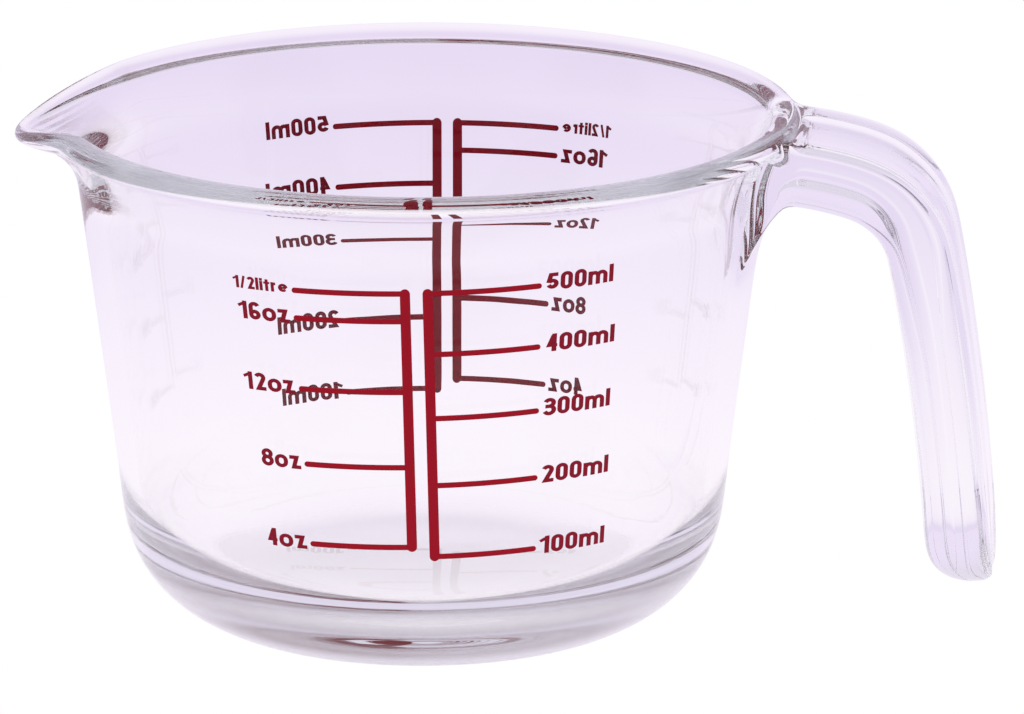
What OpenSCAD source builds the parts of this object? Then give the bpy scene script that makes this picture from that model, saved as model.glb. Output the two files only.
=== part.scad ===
// Measuring jug in clear pressed glass with a printed scale on its front and back.
// Millimetres. The origin is on the bowl's axis at the table, +Z up. The handle
// points along +X, the spout along -X, and the front scale faces -Y.

/* [Bowl] */
// How much wider the outer wall is where the mouth starts to flare than at the table
wall_spread = 9.6; // [8:0.1:11]
// Thickness of the wall
wall_t = 3.6; // [3:0.1:4.5]
// Height of the inside floor above the table
floor_z = 10; // [7:0.5:12]
// Radius of the rounded outer corner at the base
base_corner_r = 21; // [16:0.5:24]
// Radius of the rounded inner corner at the floor
floor_corner_r = 15; // [10:0.5:18]

/* [Rim] */
// Radius of the circle along the middle of the rim bead
rim_r = 62.7; // [61.5:0.1:63.5]
// Height of the middle of the rim bead
rim_z = 87.6; // [86:0.1:89]
// Radius of the rim bead's round section
bead_r = 1.9; // [1.5:0.1:2.3]
// How far the rim circle stands out past the top of the wall
rim_overhang = 3.6; // [3:0.1:4.5]
// Height from where the mouth starts to flare outside to the middle of the rim bead
flare_h = 10.6; // [9:0.1:12]
// Radius of the flare's curve outside
flare_out_r = 30; // [26:1:36]
// Radius of the flare's curve inside
flare_in_r = 24; // [21:1:28]
// How far below the outer flare the inner flare starts
flare_lead = 3; // [1:0.5:5]

/* [Spout] */
// Angle from the spout's middle to where it has died into the rim
spout_half_angle = 25; // [20:1:32]
// How far the lip's round edge reaches past the rim circle
spout_reach = 6.9; // [4:0.1:9]
// How far the lip's round edge dips below the rim
spout_dip = 4.1; // [1:0.1:5]
// Radius of the lip's round edge at the tip
lip_r = 1.25; // [1:0.05:1.6]
// Height of the wall below the flare that the spout's glass takes in
spout_skirt = 7; // [5:0.5:10]
// Bluntness of the tip: 0 is a point
tip_blunt = 0.12; // [0.05:0.01:0.3]
// How hollow the rim line runs from the tip to the spout's ends: 1 is straight
spout_hollow = 1.15; // [1:0.05:1.6]

/* [Handle] */
// Width of the strap
strap_w = 30; // [24:0.5:34]
// Thickness of the strap
strap_t = 10.8; // [9:0.1:12]
// Radius of the strap's long edges
strap_edge_r = 1.8; // [1:0.1:3]
// How far below the middle of the rim bead the strap's middle meets the wall
strap_drop = 4.7; // [4.4:0.1:5.6]
// Length of the run out from the wall
run_l = 19.8; // [17:0.2:24]
// Length of the bend
bend_l = 16.5; // [15:0.5:22]
// Length of the hanging leg
leg_l = 61; // [45:1:63]
// Downward slope at the wall, in degrees
slope_root = -3; // [-6:1:2]
// Downward slope at the start of the bend
slope_run = 17; // [12:1:22]
// Downward slope at the end of the bend
slope_bend = 78.7; // [74:0.1:82]
// Downward slope at the free end
slope_leg = 87; // [83:0.5:89]
// Length of the tongue-shaped end
tongue_l = 13; // [8:0.5:18]
// Length over which the end is rounded away on the inner side
end_round_l = 9; // [5:0.5:12]
// Length of the root's widening towards the rim
root_flare_l = 14; // [8:0.5:18]
// How far each side of the root widens
root_flare_w = 12; // [4:0.5:14]
// Width of the web under the root
web_w = 18; // [12:0.5:26]
// How far below the middle of the rim bead the web's hollow meets the wall
web_drop = 20.6; // [17.5:0.1:24.5]
// Radius of the web's hollow
web_r = 7.8; // [5:0.1:9]

/* [Scale] */
// Heights of the metric ticks, 100 ml apart from the bottom, as shares of the rim's height
ml_z_shares = [0.2865, 0.4332, 0.5708, 0.7015, 0.8253];
// The same for the fluid ounce ticks: 4, 8, 12 and 16 oz, then half a litre
oz_z_shares = [0.3071, 0.4715, 0.6256, 0.7694, 0.8253];
// Thickness of the fired print
print_t = 0.15; // [0.1:0.05:0.3]
// Width of the upright bars
bar_w = 1.65; // [1.2:0.05:2]
// Width of the ticks
tick_w = 0.95; // [0.6:0.05:1.2]
// Distance between the two upright bars' middles
bar_gap = 3.74; // [3:0.02:5]
// Angle that a tick covers round the bowl
tick_angle = 18.4; // [14:0.1:22]
// Angle between a tick's end and its label
label_gap_angle = 1.2; // [0.8:0.1:2]
// How far a label's middle sits above its tick
label_rise = 0.5; // [0:0.1:1]
// Turn of the front scale from straight ahead, towards the handle
front_turn = 6.4; // [-10:0.1:10]
// Lean of the front scale
front_tilt = 1.2; // [-2:0.1:2]
// Turn of the back scale
back_turn = 182.35; // [170:0.05:190]
// Lean of the back scale
back_tilt = -0.5; // [-2:0.1:2]

/* [Lettering] */
// Height of a numeral in the larger labels
figure_h = 3.1; // [2.4:0.1:3.6]
// Height of a numeral in the half litre label
small_figure_h = 2.15; // [1.8:0.05:2.6]
// Stroke width as a share of the numeral height
stroke_share = 0.2; // [0.12:0.01:0.22]

/* [Hidden] */
// Over 12, so every circle is a true one
$fn = 96;
// Overrun of cuts
over = 1;
// How far an arc bites into the line that it runs into
bite = 0.002;
// Step between the lofted spout's flat facets and the turned wall at their seams. The
// facets stand on the side away from the chords of the wall's own curve, so that no
// facet crosses it
seam_step = 0.04;
// How far the lofted spout runs into the turned wall
seam_lap = 0.4;
ml_labels = ["100ml", "200ml", "300ml", "400ml", "500ml"];
oz_labels = ["4oz", "8oz", "12oz", "16oz", "half_litre"];
oz_words = ["4oz", "8oz", "12oz", "16oz", "1/2litre"];
sides = ["front", "back"];

glass = [0.88, 0.86, 0.93, 0.45];
enamel = [0.55, 0.08, 0.13];

// What keeps its distance from the rim, and the ticks' heights
wall_top_r = rim_r - rim_overhang;
wall_foot_r = wall_top_r - wall_spread;
flare_z = rim_z - flare_h;
strap_z = rim_z - strap_drop;
web_z = rim_z - web_drop;
ml_z = rim_z * ml_z_shares;
oz_z = rim_z * oz_z_shares;

// The straight cone of the wall
wall_lean = (wall_top_r - wall_foot_r) / flare_z;
lean_angle = atan(wall_lean);
wall_t_level = wall_t / cos(lean_angle);
inner_foot_r = wall_foot_r - wall_t_level;
function wall_r(z) = wall_foot_r + wall_lean * z;
function inner_r(z) = wall_r(z) - wall_t_level;
flare_in_z = flare_z - flare_lead;
top_z = rim_z + bead_r;
// Middle of the circle whose arc rounds the corner between a level line at z
// and the wall line through r at the table
function corner_x(r, z, corner) = r + wall_lean * (z + corner) - corner / cos(lean_angle);
base_corner_x = corner_x(wall_foot_r, 0, base_corner_r);
floor_corner_x = corner_x(inner_foot_r, floor_z, floor_corner_r);
// Middles of the flares' circles, which lie outside the glass
function flare_middle(r, z, curve) = [r + curve * cos(lean_angle), z - curve * sin(lean_angle)];
flare_out_c = flare_middle(wall_top_r, flare_z, flare_out_r);
flare_in_c = flare_middle(inner_r(flare_in_z), flare_in_z, flare_in_r);
function flare_x(c, curve, z) = c[0] - sqrt(curve * curve - (z - c[1]) * (z - c[1]));

// Half section of a bowl shape: a level bottom, a corner arc, the cone and a flare up to
// the top. The arcs bite into the straight lines, so that they cross and never just touch
module bowl_profile(r, bottom, corner, corner_x, flare_c, flare_r, flare_z, top) {
    turn = [corner_x, bottom + corner] + corner * [cos(lean_angle), -sin(lean_angle)];
    difference() {
        union() {
            intersection() {
                translate([corner_x, bottom + corner]) circle(corner + bite);
                translate([0, bottom]) square([corner_x + 2 * corner, corner]);
            }
            translate([0, bottom]) square([corner_x, corner]);
            polygon([[0, turn[1]], turn, [r + wall_lean * flare_z, flare_z],
                [flare_c[0], flare_z], [flare_c[0], top], [0, top]]);
        }
        translate(flare_c) circle(flare_r + bite);
    }
}

module outside_profile() {
    bowl_profile(wall_foot_r, 0, base_corner_r, base_corner_x,
        flare_out_c, flare_out_r, flare_z, rim_z);
}

module inside_profile() {
    bowl_profile(inner_foot_r, floor_z, floor_corner_r, floor_corner_x,
        flare_in_c, flare_in_r, flare_in_z, top_z + over);
}

module glass_profile() {
    difference() {
        outside_profile();
        inside_profile();
    }
    translate([rim_r, rim_z]) circle(bead_r);
}

// Everything inside the bowl's outer skin, to trim what meets it
module bowl_space() {
    rotate_extrude() {
        outside_profile();
        translate([rim_r, rim_z]) circle(bead_r);
        translate([0, rim_z]) square([rim_r, bead_r + over]);
    }
}

// How far the spout is drawn at an angle from its middle: 1 at the tip, and 0 at its
// ends, just inside the slice that it fills
lap_angle = seam_lap / rim_r * 180 / PI;
spout_end_angle = spout_half_angle - lap_angle;
function drawn(angle) = let (
    u = min(abs(angle) / spout_end_angle, 1),
    x = (sqrt(u * u + tip_blunt * tip_blunt) - tip_blunt)
        / (sqrt(1 + tip_blunt * tip_blunt) - tip_blunt)
) pow(1 - x, spout_hollow);

// The spout's sections are two chains of points, outer and inner, that start in the
// wall below the flare and end at the top of the round edge
flare_steps = 8;
edge_steps = 12;
// Angles on the round edge, from level: where each chain comes onto it and where it ends
plain_out = [-122, 90];
plain_in = [195, 100];
lip_out = [-95, 80];
lip_in = [115, 92];
// How much of its rise each side of the lip goes on straight up from the wall
under_share = 0.95;
trough_share = 0.8;
// How strongly the trough and the underside level out before the lip
lip_pull_share = 0.3;
skirt_z = flare_z - spout_skirt;
function blend(a, b, t) = a * (1 - t) + b * t;
function bezier(p, t) = p[0] * pow(1 - t, 3) + 3 * p[1] * t * pow(1 - t, 2)
    + 3 * p[2] * t * t * (1 - t) + p[3] * pow(t, 3);
function on_circle(c, r, angle) = c + r * [cos(angle), sin(angle)];
function round_edge(c, r, edge) =
    [for (i = [0:edge_steps]) on_circle(c, r, blend(edge[0], edge[1], i / edge_steps))];
// A chain starts with two points on the wall's cone
function wall_points(foot_r, start_z) = [
    [foot_r + wall_lean * (skirt_z - seam_lap) + seam_step, skirt_z - seam_lap],
    [foot_r + wall_lean * start_z - seam_step, start_z]
];
// A chain of the plain rim, with its round edge between two angles
function plain_chain(foot_r, start_z, c, curve, edge) = let (
    end_z = rim_z + bead_r * sin(edge[0])
) concat(
    wall_points(foot_r, start_z),
    [for (i = [1:flare_steps - 1]) let (z = blend(start_z, end_z, i / flare_steps))
        [flare_x(c, curve + seam_step, z), z]],
    round_edge([rim_r, rim_z], bead_r + seam_step, edge)
);
// A chain of the spout's middle: the lip's edge is drawn out and dips
lip_c = [rim_r + spout_reach, rim_z - spout_dip];
function lip_chain(foot_r, start_z, rise, edge) = let (
    wall = wall_points(foot_r, start_z),
    start = wall[1],
    end = on_circle(lip_c, lip_r, edge[0]),
    bend = start + rise * [wall_lean, 1]
) concat(
    wall,
    [for (i = [1:flare_steps - 1])
        bezier([start, bend, blend(bend, end, lip_pull_share), end], i / flare_steps)],
    round_edge(lip_c, lip_r, edge)
);
under_rise = (lip_c[1] - lip_r - flare_z) * under_share;
trough_rise = (lip_c[1] + lip_r - flare_in_z) * trough_share;
outer_plain = plain_chain(wall_foot_r, flare_z, flare_out_c, flare_out_r, plain_out);
inner_plain = plain_chain(inner_foot_r, flare_in_z, flare_in_c, flare_in_r, plain_in);
outer_lip = lip_chain(wall_foot_r, flare_z, under_rise, lip_out);
inner_lip = lip_chain(inner_foot_r, flare_in_z, trough_rise, lip_in);
chain_n = len(outer_plain);

function spout_ring(angle) = let (t = drawn(angle)) concat(
    [for (i = [0:chain_n - 1]) blend(outer_plain[i], outer_lip[i], t)],
    [for (i = [chain_n - 1:-1:0]) blend(inner_plain[i], inner_lip[i], t)]
);
// Angles of the sections, closer together at the tip
spout_steps = 13;
spout_crowding = 1.35;
spout_angles = [for (i = [-spout_steps:spout_steps])
    spout_end_angle * sign(i) * pow(abs(i) / spout_steps, spout_crowding)];

// A closed skin over rings of n points, capped by strips between the halves of a ring
function skin_faces(rings, n) = concat(
    [for (j = [0:rings - 2]) for (i = [0:n - 1]) let (k = (i + 1) % n, a = j * n, b = a + n)
        each [[a + i, b + k, a + k], [a + i, b + i, b + k]]],
    [for (i = [0:n / 2 - 2]) each [[i, i + 1, n - 1 - i], [i + 1, n - 2 - i, n - 1 - i]]],
    [for (i = [0:n / 2 - 2]) let (b = (rings - 1) * n)
        each [[b + i, b + n - 1 - i, b + i + 1], [b + i + 1, b + n - 1 - i, b + n - 2 - i]]]
);

module spout() {
    angles = concat(-spout_half_angle - lap_angle, spout_angles, spout_half_angle + lap_angle);
    points = [for (a = angles) for (p = spout_ring(a)) [-p[0] * cos(a), p[0] * sin(a), p[1]]];
    polyhedron(points, skin_faces(len(angles), 2 * chain_n));
}

// The slice of the turned bowl that the spout takes the place of
module spout_slice() {
    rotate([0, 0, 180 - spout_half_angle]) rotate_extrude(angle = 2 * spout_half_angle)
        translate([inner_r(skirt_z) - wall_t, skirt_z]) square([rim_r, top_z]);
}

module bowl() {
    color(glass) {
        difference() {
            rotate_extrude() glass_profile();
            spout_slice();
        }
        spout();
    }
}

// The strap's middle line is three arcs; each state is [x, z, downward slope]
function arc_end(state, slope, l, t = 1) = let (
    a = blend(state[2], slope, t),
    r = l / (slope - state[2]) * 180 / PI
) [state[0] + r * (sin(a) - sin(state[2])), state[1] - r * (cos(state[2]) - cos(a)), a];
strap_start = [wall_r(strap_z) - wall_t, strap_z, slope_root];
run_end = arc_end(strap_start, slope_run, run_l);
bend_end = arc_end(run_end, slope_bend, bend_l);
strap_l = run_l + bend_l + leg_l;
function strap_at(s) = s < 0 ? strap_start + s * [cos(slope_root), -sin(slope_root), 0]
    : s < run_l ? arc_end(strap_start, slope_run, run_l, s / run_l)
    : s < run_l + bend_l ? arc_end(run_end, slope_bend, bend_l, (s - run_l) / bend_l)
    : arc_end(bend_end, slope_leg, leg_l, (s - run_l - bend_l) / leg_l);

// A quarter round: 0 at the end of a run l long and 1 where it starts
function quarter(d, l) = d >= l ? 1 : sqrt(1 - pow(1 - d / l, 2));
// The root's widening starts a little inside the wall, where its own full width meets
// the wall's circle below the strap
root_wall_r = wall_r(strap_z - strap_t / 2) - strap_edge_r;
root_half_w = strap_w / 2 + root_flare_w;
root_start = sqrt(root_wall_r * root_wall_r - root_half_w * root_half_w) - strap_start[0];
strap_back = root_flare_l;
function half_width(s) = strap_w / 2 * quarter(strap_l - s, tongue_l) + (s < root_flare_l
    ? root_flare_w * (1 - quarter(max(s - root_start, 0), root_flare_l - root_start)) : 0);
// At the free end the inner face comes out by a share of the thickness, and the outer
// edge is rounded by a share of it
end_taper_share = 0.75;
end_edge_share = 0.2;
end_edge_r = strap_t * end_edge_share;
function inner_offset(s) = strap_t * (0.5 - (1 - quarter(strap_l - s, end_round_l)) * end_taper_share);
function outer_offset(s) = strap_t / 2 - end_edge_r * (1 - quarter(strap_l - s, end_edge_r));
corner_steps = 4;
// The most of its half width and thickness that a rounded long edge may take
edge_w_share = 0.9;
edge_t_share = 0.45;
function strap_ring(s) = let (
    at = strap_at(s),
    w = half_width(s),
    out = outer_offset(s),
    in = inner_offset(s),
    r = min(strap_edge_r, w * edge_w_share, (out + in) * edge_t_share)
) [for (k = [0:3]) for (i = [0:corner_steps]) let (
    a = 90 * (k + i / corner_steps),
    side = [k == 0 || k == 3 ? 1 : -1, k < 2 ? 1 : -1],
    y = side[0] * (w - r) + r * cos(a),
    n = (side[1] > 0 ? out - r : r - in) + r * sin(a)
) [at[0] + n * sin(at[2]), y, at[1] + n * cos(at[2])]];

// Sections along the strap: n steps from one length towards another, which is left out
function steps(from, to, n) = [for (i = [0:n - 1]) blend(from, to, i / n)];
end_gap = 0.15;
end_steps = 13;
strap_stations = concat(
    steps(-strap_back, root_start, 2),
    steps(root_start, root_flare_l, 10),
    steps(root_flare_l, run_l, 4),
    steps(run_l, run_l + bend_l, 12),
    steps(run_l + bend_l, strap_l - tongue_l, 10),
    [for (i = [0:end_steps]) strap_l - end_gap - (tongue_l - end_gap) * pow(1 - i / end_steps, 2)]
);

module strap() {
    n = 4 * (corner_steps + 1);
    points = [for (s = strap_stations) each strap_ring(s)];
    polyhedron(points, skin_faces(len(strap_stations), n));
}

// The web under the root follows the wall, and its hollow runs into the wall with a
// small bite
web_bite = 0.05;
web_c = flare_middle(wall_r(web_z), web_z, web_r - web_bite);
web_half_angle = asin(web_w / 2 / web_c[0]);
module web() {
    rotate([0, 0, -web_half_angle]) rotate_extrude(angle = 2 * web_half_angle) difference() {
        polygon([[wall_foot_r, web_z], [web_c[0], web_z], [web_c[0], strap_z], [wall_foot_r, strap_z]]);
        translate(web_c) circle(web_r);
    }
}

module handle() {
    color(glass) difference() {
        union() {
            strap();
            web();
        }
        bowl_space();
    }
}

// The thin cone that the print fills on the wall's outer skin
module print_skin() {
    rotate_extrude() polygon([
        for (z = [flare_z, floor_z]) [wall_r(z), z],
        for (z = [floor_z, flare_z]) [wall_r(z) + print_t, z]
    ]);
}

// A flat drawing pressed radially on the wall: the drawing's x runs round the bowl
// from a given turn and its y is the height
module fire_on(turn) {
    color(enamel) intersection() {
        print_skin();
        rotate([0, 0, turn]) translate([0, -wall_top_r / 2, 0]) rotate([90, 0, 0])
            linear_extrude(wall_top_r) children();
    }
}

// A line of even width with round ends, which stand out by the bite past its sides
module stroke(from, to, w) {
    d = to - from;
    side = w / 2 - bite;
    translate(from) circle(d = w);
    translate(to) circle(d = w);
    translate(from) rotate(atan2(d[1], d[0])) translate([0, -side]) square([norm(d), 2 * side]);
}

// Points along an arc about c
arc_step = 22.5;
function arc(c, r, from, to) = let (n = ceil(abs(to - from) / arc_step))
    [for (i = [0:n]) on_circle(c, r, blend(from, to, i / n))];
// A path moved sideways, with its corners mitred
function turned_left(d) = [-d[1], d[0]] / norm(d);
function beside(path, shift) = [for (i = [0:len(path) - 1]) let (
    before = turned_left(path[max(i, 1)] - path[max(i, 1) - 1]),
    after = turned_left(path[min(i, len(path) - 2) + 1] - path[min(i, len(path) - 2)]),
    middle = (before + after) / norm(before + after)
) path[i] + middle * shift / (middle * before)];
// A line of width w along a path, with square ends
module line(path, w) {
    left = beside(path, w / 2);
    right = beside(path, -w / 2);
    polygon(concat(left, [for (i = [len(path) - 1:-1:0]) right[i]]));
}
// A closed line of width w: a ring whose two halves stand apart by a straight run
module loop(c, r, run, w) {
    difference() {
        polygon(loop_path(c, r + w / 2, run));
        polygon(loop_path(c, r - w / 2, run));
    }
}
function loop_path(c, r, run) = let (up = [0, run / 2]) [
    each arc(c + up, r, 0, 180), each arc(c - up, r, 180, run > 0 ? 360 : 360 - arc_step)
];

// Widths of the characters as shares of the numeral height, and the space between them
figure_w_share = 0.56;
m_w_share = 0.94;
round_w_share = 0.66;
z_w_share = 0.54;
narrow_w_share = 0.42;
gap_share = 0.1;
function char_w_share(c) = c == "m" ? m_w_share : c == "l" || c == "i" ? stroke_share
    : c == "o" || c == "e" ? round_w_share : c == "z" ? z_w_share
    : c == "1" || c == "t" || c == "r" || c == "/" ? narrow_w_share : figure_w_share;
// Heights as shares of the numeral height: small letters, the flag of a 1, the waist of
// a 3 or 8, the bar of a 4, the stem of a t
low_share = 0.76;
flag_share = 0.72;
waist_share = 0.53;
bar_share = 0.34;
stem_share = 0.94;
// The stem of a 4 and the top of a 5, as shares of the width
four_share = 0.76;
five_share = 0.94;
// Thinner strokes, and where an acute corner's middle line turns to keep its mitre in
// the box, as shares of the stroke
thin_share = 0.8;
acute_share = 0.95;
// How far from level an open stroke ends, where it joins a straight one, and the
// opening of an e
open_angle = 20;
join_angle = 30;
e_angle = 45;

// One character in strokes of width w, with its foot at the origin and h high
module character(c, h, w) {
    cw = char_w_share(c) * h;
    t = w / 2;
    middle = cw / 2;
    right = cw - t;
    top = h - t;
    r = middle - t;
    low = low_share * h;
    low_top = low - t;
    acute = w * acute_share;
    thin = w * thin_share;
    // The two rounds of a 3 or 8
    lower_r = (h - w) / 2 * waist_share;
    upper_r = (h - w) / 2 - lower_r;
    if (c == "0")
        loop([middle, h / 2], r, h - cw, w);
    if (c == "1") {
        line([[right, 0], [right, h]], w);
        line([[0, flag_share * h], [right, top]], thin);
    }
    if (c == "2")
        line([each arc([middle, top - r], r, 180 - open_angle, -join_angle), [acute, t], [cw, t]], w);
    if (c == "3") {
        line([each arc([middle, top - upper_r], upper_r, 180 - open_angle, -90),
            [t, top - 2 * upper_r]], w);
        line(arc([middle, t + lower_r], lower_r, 90, open_angle - 180), w);
    }
    if (c == "4") {
        stem = four_share * cw;
        line([[stem, 0], [stem, h]], w);
        line([[stem - t / 2, top], [acute, bar_share * h], [cw, bar_share * h]], thin);
    }
    if (c == "5") {
        line([[five_share * cw, top], [w, top], [t, top / 2]], w);
        line(arc([middle, w + r], r, 180 - join_angle, open_angle - 180), w);
    }
    if (c == "6") {
        loop([middle, t + r], r, 0, w);
        line([each arc([middle, top - r], r, open_angle, 180), [t, t + r]], w);
    }
    if (c == "8") {
        loop([middle, top - upper_r], upper_r, 0, w);
        loop([middle, t + lower_r], lower_r, 0, w);
    }
    if (c == "m") {
        hump_r = (cw - w) / 4;
        line([[t, 0], [t, low]], w);
        for (x = [t + hump_r, t + 3 * hump_r])
            line([[x + hump_r, 0], each arc([x, low_top - hump_r], hump_r, 0, 180)], w);
    }
    if (c == "l")
        line([[t, 0], [t, h]], w);
    if (c == "i") {
        line([[t, 0], [t, low]], w);
        line([[t, h - w], [t, h]], w);
    }
    if (c == "o")
        loop([middle, low / 2], r, low - cw, w);
    if (c == "z")
        line([[0, low_top], [cw - acute, low_top], [acute, t], [cw, t]], w);
    if (c == "t") {
        line([[middle, 0], [middle, stem_share * h]], w);
        line([[0, low_top], [cw, low_top]], thin);
    }
    if (c == "r") {
        line([[t, 0], [t, low]], w);
        line(arc([right, low_top - right + t], right - t, 180, 90), w);
    }
    if (c == "e") {
        line(arc([middle, low / 2], r, 0, 360 - e_angle), w);
        line([[t, low / 2], [right, low / 2]], thin);
    }
    if (c == "/")
        line([[t, 0], [cw - t, h]], thin);
}

// Where character i starts in a word, and the word's whole length
function start_of(characters, i, h) = i == 0 ? 0
    : start_of(characters, i - 1, h) + (char_w_share(characters[i - 1]) + gap_share) * h;
function word_l(characters, h) = start_of(characters, len(characters), h) - gap_share * h;

// A word with its middle at the origin
module word(characters, h) {
    translate([-word_l(characters, h) / 2, -h / 2]) for (i = [0:len(characters) - 1])
        translate([start_of(characters, i, h), 0]) character(characters[i], h, stroke_share * h);
}

// The two sides of the jug carry the same scale, each with its own turn and lean.
// way is 1 for the metric half, on the right, and -1 for the ounce half
function side_turn(side) = side == "front" ? front_turn : back_turn;
function side_tilt(side) = side == "front" ? front_tilt : back_tilt;
scale_z = (ml_z[0] + ml_z[4]) / 2;
oz_figure_h = [figure_h, figure_h, figure_h, figure_h, small_figure_h];
function bar_angle(z) = bar_gap / 2 / wall_r(z) * 180 / PI;
tick_middle_angle = bar_angle(scale_z) + tick_angle / 2;

module ladder(side, heights, way) {
    turn = way * tick_middle_angle;
    middle_x = -wall_r(scale_z) * sin(turn);
    fire_on(side_turn(side) + turn)
        translate([middle_x, scale_z]) rotate(side_tilt(side)) translate([-middle_x, -scale_z])
            for (z = heights) {
                r = wall_r(z);
                bar_x = r * sin(way * bar_angle(z) - turn);
                tip_x = r * sin(way * (bar_angle(z) + tick_angle) - turn);
                stroke([bar_x, z], [tip_x, z], tick_w);
                foot = wall_r(heights[0]) * sin(way * bar_angle(heights[0]) - turn);
                if (z == heights[4])
                    stroke([foot, heights[0]], [bar_x, z], bar_w);
            }
}

module label(side, characters, z, way, height) {
    half = word_l(characters, height) / 2;
    reach = bar_angle(z) + tick_angle + label_gap_angle + half / wall_r(z) * 180 / PI;
    tilt = side_tilt(side);
    lift = label_rise + wall_r(z) * sin(reach) * sin(way * tilt);
    fire_on(side_turn(side) + way * reach - (z - scale_z) * tan(tilt) / wall_r(z) * 180 / PI)
        translate([0, z + lift]) rotate(tilt) word(characters, height);
}

bowl();
handle();
for (side = sides) {
    ladder(side, ml_z, 1);
    ladder(side, oz_z, -1);
    for (i = [0:4]) {
        label(side, ml_labels[i], ml_z[i], 1, figure_h);
        label(side, oz_words[i], oz_z[i], -1, oz_figure_h[i]);
    }
}
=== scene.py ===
# %% [markdown]
# # A pressed glass measuring jug
#
# The jug is one pressing of clear soda-lime glass: a flared bowl with a rolled rim, a spout that
# was drawn out of the rim, and a broad strap handle that hangs free. A dark red scale is fired
# on its front and its back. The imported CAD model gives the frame, the sizes and the words. Here
# the glass gets one unbroken skin, because light shows each seam inside clear glass, and the
# scale gets its enamel.

# %% Load the frame
import math
import bpy
import bmesh
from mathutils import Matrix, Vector


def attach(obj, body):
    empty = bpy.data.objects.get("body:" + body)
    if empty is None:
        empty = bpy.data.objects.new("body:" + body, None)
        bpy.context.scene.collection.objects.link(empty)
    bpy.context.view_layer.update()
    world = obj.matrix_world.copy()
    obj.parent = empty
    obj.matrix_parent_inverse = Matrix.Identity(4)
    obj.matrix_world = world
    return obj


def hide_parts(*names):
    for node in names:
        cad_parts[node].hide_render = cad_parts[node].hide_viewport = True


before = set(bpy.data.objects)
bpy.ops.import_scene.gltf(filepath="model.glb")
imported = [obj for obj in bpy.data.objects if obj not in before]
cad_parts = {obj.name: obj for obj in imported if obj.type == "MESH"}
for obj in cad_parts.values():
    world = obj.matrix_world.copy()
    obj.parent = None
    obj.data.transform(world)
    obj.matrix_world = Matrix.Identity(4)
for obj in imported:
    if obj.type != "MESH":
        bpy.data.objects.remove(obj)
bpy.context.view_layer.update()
MM = 0.001

# %% [markdown]
# ## Helpers
#
# Some steps recur in all that follows. An operator acts on all that is selected, and the frame
# arrives selected, so each step starts by clearing the selection and picking one object. Colours
# are read off as sRGB hex values, while shaders work with linear ones, so one function turns them.


# %% Selection helpers
def pick(obj):
    """Make obj the only selected object, and the active one."""
    if bpy.context.object and bpy.context.object.mode != "OBJECT":
        bpy.ops.object.mode_set(mode="OBJECT")
    bpy.ops.object.select_all(action="DESELECT")
    obj.select_set(True)
    bpy.context.view_layer.objects.active = obj


def apply_modifiers(obj):
    """Apply all of obj's modifiers, in order."""
    pick(obj)
    for modifier in list(obj.modifiers):
        bpy.ops.object.modifier_apply(modifier=modifier.name)


def srgb(code):
    """A hex colour, as a paint chart gives it, turned to the linear values that shaders use."""
    channels = [int(code[i:i + 2], 16) / 255 for i in (1, 3, 5)]
    linear = [c / 12.92 if c <= 0.04045 else ((c + 0.055) / 1.055) ** 2.4 for c in channels]
    return (*linear, 1.0)


# %% [markdown]
# ## Camera
#
# The photograph was taken with a long lens from a little above the rim. A long lens keeps the
# ellipses of the rim and the base alike. The camera could be turned by hand until the outlines
# agree. Its place was solved instead from points of the rim, the base and the ticks, which also
# shows that the handle is turned slightly towards the camera.

# %% Set the camera
CAMERA_PLACE = Vector((0.15945, -1.29860, 0.41369))
CAMERA_AIM = Vector((-0.10608, 0.95665, -0.27126))
LENS_MM = 276.4
SENSOR_MM = 36
FARTHEST = 50
camera_data = bpy.data.cameras.new("camera")
camera_data.lens = LENS_MM
camera_data.sensor_width = SENSOR_MM
camera_data.clip_end = FARTHEST
camera = bpy.data.objects.new("camera", camera_data)
camera.location = CAMERA_PLACE
camera.rotation_euler = CAMERA_AIM.to_track_quat("-Z", "Y").to_euler()
bpy.context.collection.objects.link(camera)
bpy.context.scene.camera = camera
print("camera:", LENS_MM, "mm lens,", round(CAMERA_PLACE.length, 2), "m from the jug's foot")

# %% [markdown]
# ## The bowl's section
#
# Pressed glass follows a plunger inside and a mould outside, so the bowl is a section turned
# about an axis: a level foot, a round base corner, a wall that leans out, a flare, a rolled rim,
# and the same inside. The section could be drawn as a dense line. It is written as a few control
# points for a subdivision surface, since glass bends light by its slope, and only a surface whose
# slope flows shows no bands. Such a surface pulls in from its control points on a curve, so the
# points of an arc are set out by the amount that it pulls in.
#
# The inner flare starts lower than the outer one. The wall is thinnest between the two, and that
# squeezes what is seen through it under the rim, as in the photo.

# %% Sizes of the bowl, in mm and degrees
WALL_FOOT_R = 49.5
WALL_TOP_R = 59.1
FLARE_Z = 77.0
WALL_T = 3.6
FLOOR_Z = 10.0
BASE_CORNER_R = 21.0
FLOOR_CORNER_R = 15.0
RIM_R = 62.7
RIM_Z = 87.6
BEAD_R = 1.9
BEAD_START = -122
FLARE_OUT_R = 30.0
FLARE_IN_R = 40.7
FLARE_IN_Z = 74.0
RIM_IN_ROUND = 2.15
RIM_IN_END = 151.5
LEAN = (WALL_TOP_R - WALL_FOOT_R) / FLARE_Z
LEAN_ANGLE = math.atan(LEAN)
INNER_FOOT_R = WALL_FOOT_R - WALL_T / math.cos(LEAN_ANGLE)
COLUMNS = 90
COLUMN_ANGLE = 2 * math.pi / COLUMNS


def pull(angle):
    """How much a subdivision surface pulls in on a circle with control points an angle apart."""
    return 3 / (2 + math.cos(angle))


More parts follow.
